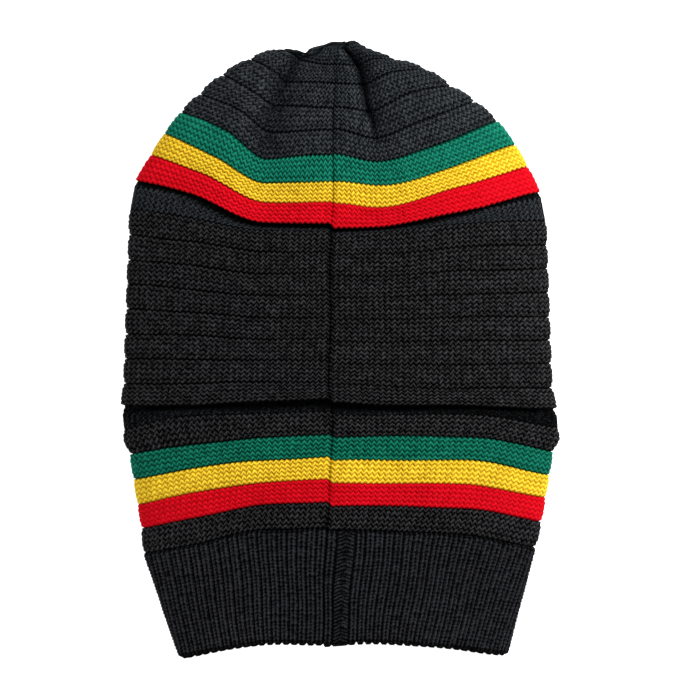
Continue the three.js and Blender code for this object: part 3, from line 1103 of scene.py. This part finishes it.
@dataclass
class Recess(KnitBand):
    """A plain strip that dips under the welt above it, nearly level with the knit at the hat's sides."""

    courses: int = 9
    rows_a_course: int = 3
    edge_inset: float = 1.6 * MM
    side_inset: float = 0.6 * MM
    deep_inset: float = 8.0 * MM
    rim_inset: float = 2.6 * MM
    side_start: float = 0.42
    dip_end: float = 0.55
    rebound: float = 0.55
    flatness: float = 0.6
    thickness: float = 2.2 * MM
    # Painted shade where the strip dips under the welt above, a painted shadow towards its right end, and
    # shade inside
    dip_shade: float = 1.2
    right_painted_shadow: float = 0.0
    inner_shade: float = 0.8

    def inner_rows(self) -> list[tuple[float, float]]:
        """Lists places and depths of the inner face, from the upper edge down."""
        return [(at, self.thickness) for at in (0.99, 0.6, 0.3, 0.01)]

    def wrap(self, tube: FlatTube, spread: Spread) -> tuple[np.ndarray, np.ndarray]:
        """Places every vertex of the strip.

        Args:
            tube: The flattened tube.
            spread: The vertices on the flat.

        Returns:
            The points, and how much painted shade each takes, from 0 to 1.
        """
        at, outer = spread.at, spread.outer()
        stitch = spread.around * self.stitches
        relief = self.relief(stitch, spread.course)
        loose = self.draw(Draw.LOOSE, 2 * self.stitches, spread.course, 2.0 * stitch)
        across, _ = tube.lens(np.full(len(at), self.low), spread.around)
        side = ease(0.35, 0.85, np.abs(across))
        rim = ease(0.90, 0.99, np.abs(across))
        start = self.side_start * side
        back = 1.0 - self.rebound * ease(0.8, 1.0, at)
        dipped = ease(0.0, 1.0, (at - start) / (self.dip_end - start)) * back
        near = self.edge_inset + (self.side_inset - self.edge_inset) * side
        deep = self.deep_inset + (self.rim_inset - self.deep_inset) * rim
        inset = near + (deep - near) * dipped
        inset = inset + np.where(outer, self.flatness * relief.depth, spread.inset)
        welt = self.low + (self.high - self.low) * at + relief.swing / WELT * self.flatness
        # Painted shade: an offset, a painted shadow towards the right end, and more where the strip dips
        # under the welt above
        painted_shade_offset = self.painted_shade_offset + self.right_painted_shadow * ease(0.3, 0.9, across)
        shade = painted_shade_offset + relief.shade + self.dip_shade * dipped + self.loose * loose
        shade = shade + self.line_shade(tube, welt, across, spread)
        return tube.place(welt, spread.around, inset), np.where(outer, shade, self.inner_shade)


@dataclass
class Hat:
    """The whole hat, from its cuff to its gather."""

    tube: FlatTube

    def bands(self) -> list[KnitBand]:
        """Lists the bands.

        Returns:
            The bands from the hem up.
        """
        return [
            RibCuff("rib_cuff", Knit.RIBBED, 0.0, 6.0, 1),
            KnitBand("cuff_welt", Knit.WELTED, 6.0, 7.0, 2, calm=0.5),
            StripeWelt("lower_red_welt", Knit.RED, 7.0, 8.0, 3),
            StripeWelt("lower_gold_welt", Knit.GOLD, 8.0, 9.0, 4, groove=1.3 * MM),
            StripeWelt("lower_green_welt", Knit.GREEN, 9.0, 10.0, 5),
            KnitBand("tuck_welt", Knit.WELTED, 10.0, 11.0, 6, calm=0.3),
            # The lower recess is painted darker as shadow, most towards its right end
            Recess("lower_recess", Knit.PLAIN, 11.0, 11.9, 7, side_start=0.25, painted_shade_offset=0.28, right_painted_shadow=0.8),
            *[
                KnitBand(f"body_welt_{i}", Knit.WELTED, 10.5 + i, 11.5 + i, 20 + i, lip=i == 1)
                for i in range(1, 9)
            ],
            Recess("upper_recess", Knit.PLAIN, 19.5, 20.4, 8, edge_inset=1.0 * MM),
            StripeWelt("upper_red_welt", Knit.RED, 20.0, 21.0, 9, lip=True),
            # The upper gold takes a little more painted shade and the upper green less, for how the light
            # falls
            StripeWelt("upper_gold_welt", Knit.GOLD, 21.0, 22.0, 10, groove=1.3 * MM, painted_shade_offset=0.07),
            StripeWelt("upper_green_welt", Knit.GREEN, 22.0, 23.0, 11, painted_shade_offset=-0.20),
            *[
                CrownWelt(f"crown_welt_{i}", Knit.CROWN, 22.0 + i, 23.0 + i, 40 + i, **crown._asdict())
                for i, crown in enumerate(CROWN_ROUNDS, 1)
            ],
            GatheredTop("crown_top", Knit.GATHERED, 27.0, 28.0, 12),
        ]

    def build(self) -> None:
        """Makes the yarns, then knits every band and reports it."""
        materials = {knit: yarn.material() for knit, yarn in YARNS.items()}
        for band in self.bands():
            piece = band.build(self.tube, materials[band.knit])
            log.info("%s: %d faces", piece.name, len(piece.data.polygons))


class Lamp(NamedTuple):
    """A soft square lamp: where it hangs, its side and its power in watts."""

    name: str
    place: tuple[float, float, float]
    side: float
    power: float


@dataclass
class Studio:
    """A plain white table top under soft light, seen from straight above."""

    middle: Vector
    table: float = 6.0
    paint: str = "#f6f6f6"
    backlight: float = 0.5
    sky: float = 0.85
    lamps: tuple[Lamp, Lamp] = (
        Lamp("crown_side_softbox", (1.25, 1.05, 1.1), 0.7, 59.0),
        Lamp("hem_side_softbox", (-0.9, -1.0, 1.6), 1.2, 16.0),
    )
    span: float = 395.2 * MM
    outline_height: float = 12.0 * MM
    camera_rise: float = 2.0
    sensor: float = 36.0
    aim: tuple[float, float] = (5.9 * MM, -0.3 * MM)

    def floor(self) -> None:
        """Lays the table top, which isn't part of the hat."""
        bpy.ops.object.select_all(action="DESELECT")
        bpy.ops.mesh.primitive_plane_add(size=self.table)
        floor = bpy.context.object
        floor.name = "table_top"
        paint = bpy.data.materials.new("backlit_white_acrylic")
        paint.use_nodes = True
        skin = paint.node_tree.nodes["Principled BSDF"]
        skin.inputs["Base Color"].default_value = linear(self.paint)
        skin.inputs["Roughness"].default_value = 0.9
        skin.inputs["Emission Color"].default_value = linear("#ffffff")
        skin.inputs["Emission Strength"].default_value = self.backlight
        floor.data.materials.append(paint)
        floor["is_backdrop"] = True

    def hang(self, lamp: Lamp) -> None:
        """Hangs a lamp that faces the hat.

        Args:
            lamp: What it is like.
        """
        light = bpy.data.lights.new(lamp.name, "AREA")
        light.size = lamp.side
        light.energy = lamp.power
        hung = bpy.data.objects.new(lamp.name, light)
        hung.location = lamp.place
        hung.rotation_euler = (self.middle - Vector(lamp.place)).to_track_quat("-Z", "Y").to_euler()
        bpy.context.scene.collection.objects.link(hung)

    def light(self) -> None:
        """Lights the table evenly, a little more from the crown's side."""
        world = bpy.data.worlds.new("white_tent")
        world.use_nodes = True
        tent = world.node_tree.nodes["Background"]
        tent.inputs["Color"].default_value = (1.0, 1.0, 1.0, 1.0)
        tent.inputs["Strength"].default_value = self.sky
        bpy.context.scene.world = world
        for lamp in self.lamps:
            self.hang(lamp)

    def camera(self) -> None:
        """Sets the camera straight above the hat, with the crown up."""
        data = bpy.data.cameras.new("camera")
        data.sensor_width = self.sensor
        data.lens = self.sensor * self.camera_rise / self.span
        camera = bpy.data.objects.new("camera", data)
        camera.location = (self.aim[0], self.aim[1], self.outline_height + self.camera_rise)
        bpy.context.scene.collection.objects.link(camera)
        bpy.context.scene.camera = camera

    def build(self) -> None:
        """Lays the floor, then sets the light and the camera."""
        self.floor()
        self.light()
        self.camera()
        bpy.context.scene.view_settings.view_transform = "Standard"


def main() -> None:
    """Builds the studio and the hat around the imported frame."""
    logging.basicConfig(level=logging.INFO, format="%(name)s %(message)s")
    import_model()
    cad_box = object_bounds()
    low, high = (Vector(corner) for corner in cad_box)
    middle = (low + high) / 2.0
    Studio(middle).build()
    tube = FlatTube(
        centre_x=middle.x,
        centre_y=middle.y,
        half_width=(high.x - low.x) / 2.0,
        length=high.y - low.y,
        height=high.z - low.z,
    )
    Hat(tube).build()


if __name__ == "__main__":
    main()
